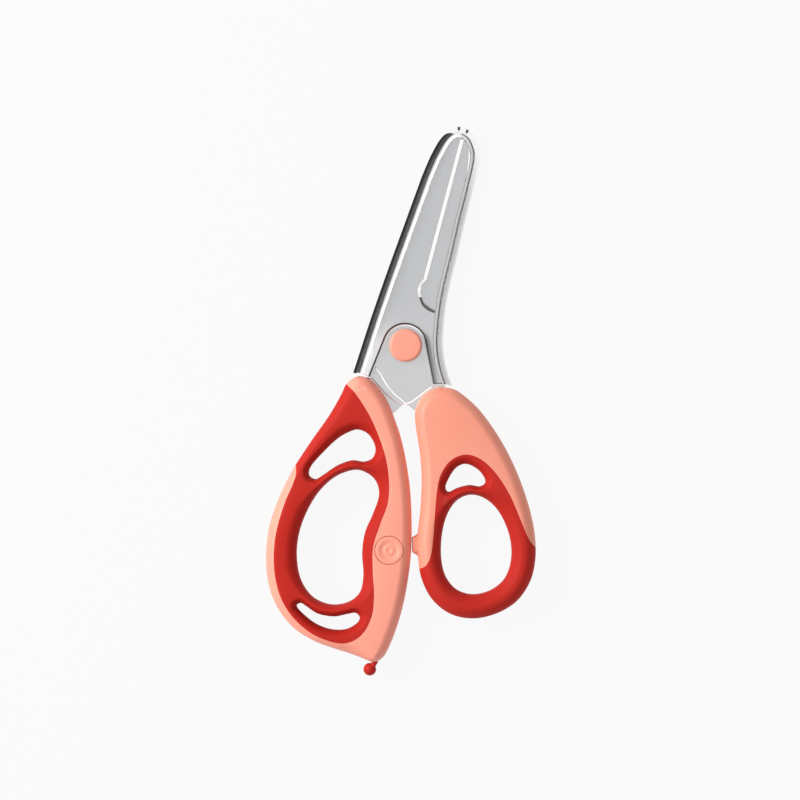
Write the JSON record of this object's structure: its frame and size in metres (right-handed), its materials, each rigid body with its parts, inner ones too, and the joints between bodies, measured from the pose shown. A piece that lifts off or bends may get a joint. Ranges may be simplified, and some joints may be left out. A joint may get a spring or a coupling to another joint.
{
  "type": "craft scissors",
  "caption": "Small craft scissors with two-colour looped handles, a round-capped pivot, a clear sheath over straight blades and a fold-out assist lever.",
  "frame": {"origin": "on the pivot's axis, at the back face of the back pivot cap, which lies in the plane that the scissors rest on", "axes": "+X to the right and +Y along the closed blades towards their tips, seen from the front; +Z out of the front face, along the pivot"},
  "size_m": [0.0676, 0.1376, 0.009],
  "materials": {
    "blade_steel": "satin ground stainless steel",
    "rivet_steel": "plain turned steel",
    "nylon": "natural nylon",
    "salmon_cap": "satin moulded plastic",
    "salmon_handle": "satin moulded plastic, fine spark texture",
    "red_grip": "soft matt elastomer",
    "red_lever": "moulded acetal",
    "clear_sheath": "clear polished moulding"
  },
  "bodies": {
    "left_half": {"rear_blade": "blade_steel", "pivot_rivet": "rivet_steel", "bearing_washer": "nylon", "rivet_washer": "rivet_steel", "back_pivot_cap": "salmon_cap", "front_pivot_cap": "salmon_cap", "left_handle": "salmon_handle", "left_grip": "red_grip", "lever_pin": "rivet_steel", "lever_cap": "salmon_handle"},
    "right_half": {"front_blade": "blade_steel", "right_handle": "salmon_handle", "right_grip": "red_grip"},
    "sheath": {"blade_sheath": "clear_sheath"},
    "lever": {"assist_lever": "red_lever"}
  },
  "joints": [
    {"name": "pivot", "type": "hinge", "parent": "left_half", "child": "right_half", "pos_m": [0, 0, 0.0045], "axis": [0, 0, 1], "range_deg": [0, 35]},
    {"name": "sheath_slide", "type": "slide", "parent": "left_half", "child": "sheath", "axis": [0.2181, 0.9759, 0], "range_m": [0, 0.2108]},
    {"name": "lever_swing", "type": "hinge", "parent": "left_half", "child": "lever", "pos_m": [-0.0041, -0.0513, 0.0045], "axis": [0, 0, 1], "range_deg": [0, 42]}
  ],
  "couplings": [
    {"joint": "sheath_slide", "follows": "pivot", "m_per_rad": 0.345}
  ]
}
